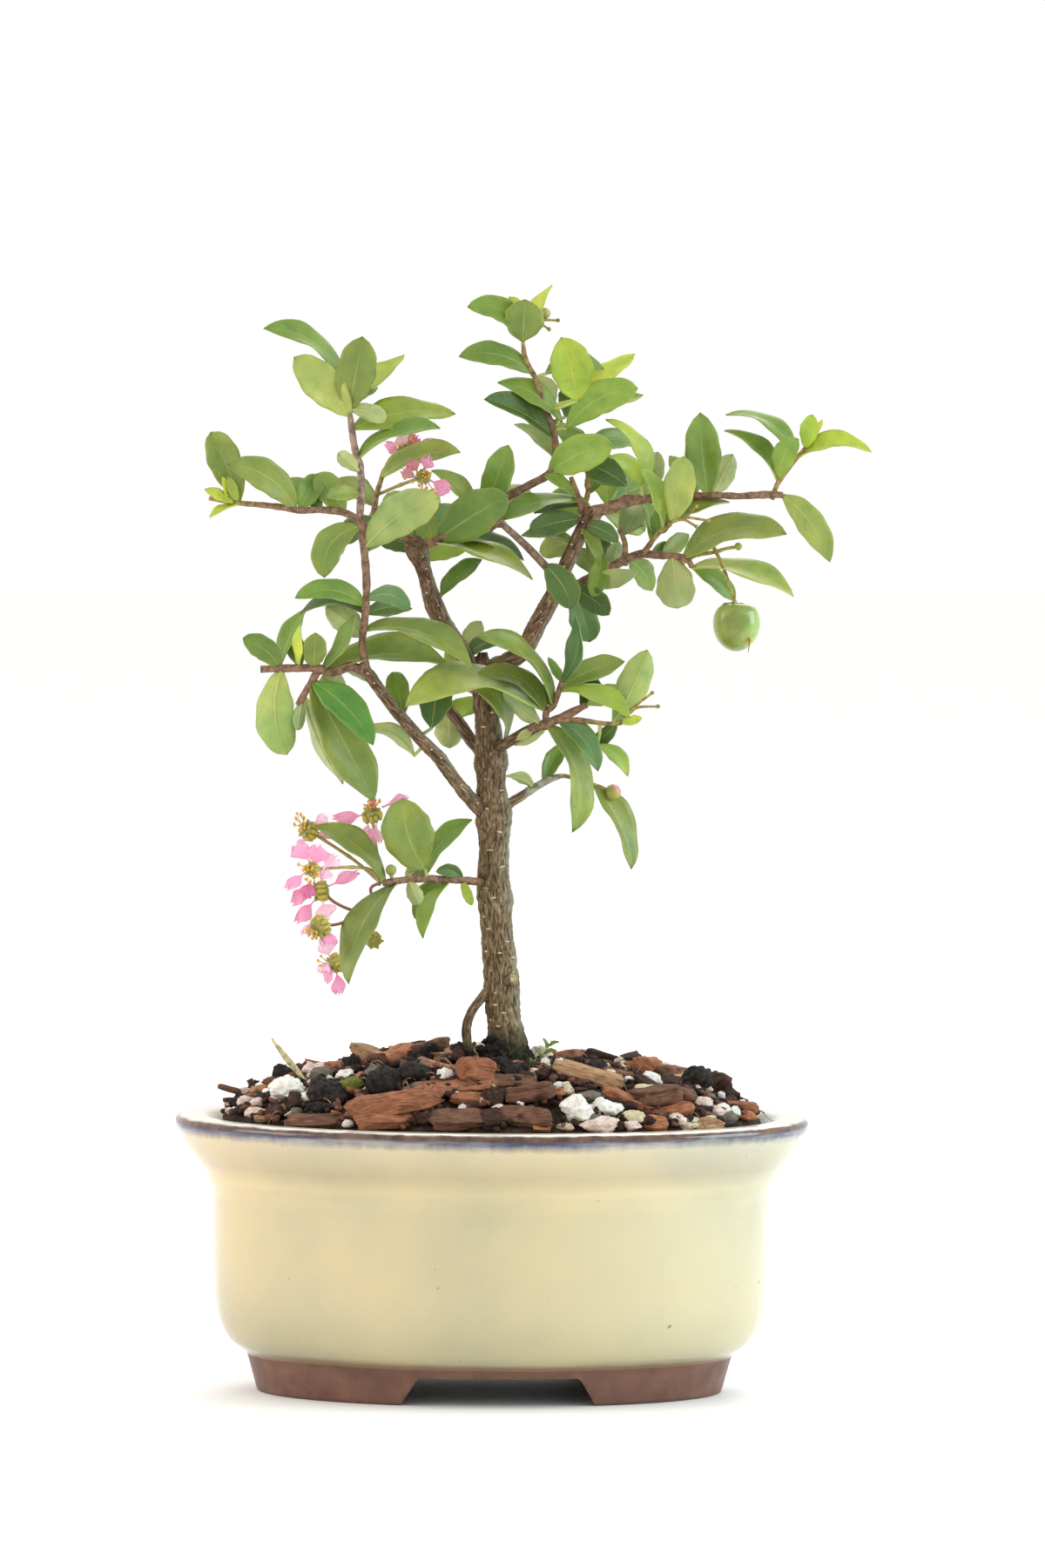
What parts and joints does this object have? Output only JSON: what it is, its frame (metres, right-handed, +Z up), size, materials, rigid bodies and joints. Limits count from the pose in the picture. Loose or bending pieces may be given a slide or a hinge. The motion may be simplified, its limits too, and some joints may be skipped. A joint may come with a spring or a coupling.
{
  "type": "flowering bonsai tree in a pot",
  "caption": "Small flowering and fruiting tropical cherry grown as a bonsai: a slim forked trunk, leafy sprays and pink blooms, in an oval glazed pot of bark and stone soil.",
  "frame": {"origin": "on the table, under the middle of the whole plant's bounding box; the pot's own middle is 6.46 mm to the left of it", "axes": "+Z up; +X to the right along the oval pot's length; -Y towards the viewer, who sees the side with the blossoms on the left and the fruit on the right"},
  "size_m": [0.173, 0.118, 0.2786],
  "materials": {
    "glaze": "gloss",
    "netting": "matte",
    "soil": "matte",
    "bark": "matte",
    "bark_chip": "matte",
    "pumice": "matte",
    "lava": "matte",
    "leaf": "satin",
    "fruit_skin": "satin",
    "calyx": "satin",
    "petal": "satin",
    "stamen": "satin"
  },
  "bodies": {
    "root": {"pot": "glaze", "drain_screen_left": "netting", "drain_screen_right": "netting", "bark_chip_red": "bark_chip", "bark_chip_block": "bark_chip", "bark_chip_flat": "bark_chip", "bark_chip_long": "bark_chip", "bark_chip_right": "bark_chip", "bark_chip_back": "bark_chip", "pumice_front": "pumice", "pumice_left": "pumice", "lava_right": "lava", "lava_left": "lava", "soil": "soil", "trunk_and_limbs": "bark", "spray_left_riser": "leaf", "spray_left_tip": "leaf", "spray_top_left": "leaf", "spray_left_cluster": "leaf", "spray_left_fork": "leaf", "spray_leader": "leaf", "spray_apex": "leaf", "spray_right_fork": "leaf", "spray_right_upper": "leaf", "spray_right_tip": "leaf", "spray_fruiting": "leaf", "spray_low_right": "leaf", "spray_grey_limb": "leaf", "spray_flowering": "leaf", "spray_back_left": "leaf", "spray_back_right": "leaf", "spray_back_low": "leaf", "leaf_under_low_limb": "leaf", "leaf_above_low_limb": "leaf", "leaf_behind_low_limb": "leaf", "leaf_on_spur": "leaf", "leaf_on_trunk": "leaf", "leaf_on_left_limb": "leaf", "leaf_behind_left_limb": "leaf", "leaf_fan_on_left_limb": "leaf", "fruit": "fruit_skin", "flower_stalks_low": "calyx", "petals_low_1": "petal", "stamens_low_1": "stamen", "petals_low_2": "petal", "stamens_low_2": "stamen", "petals_low_3": "petal", "stamens_low_3": "stamen", "petals_low_4": "petal", "stamens_low_4": "stamen", "petals_low_5": "petal", "stamens_low_5": "stamen", "petals_low_6": "petal", "stamens_low_6": "stamen", "flower_stalks_upper": "calyx", "petals_upper_1": "petal", "stamens_upper_1": "stamen", "petals_upper_2": "petal", "stamens_upper_2": "stamen"}
  },
  "joints": []
}
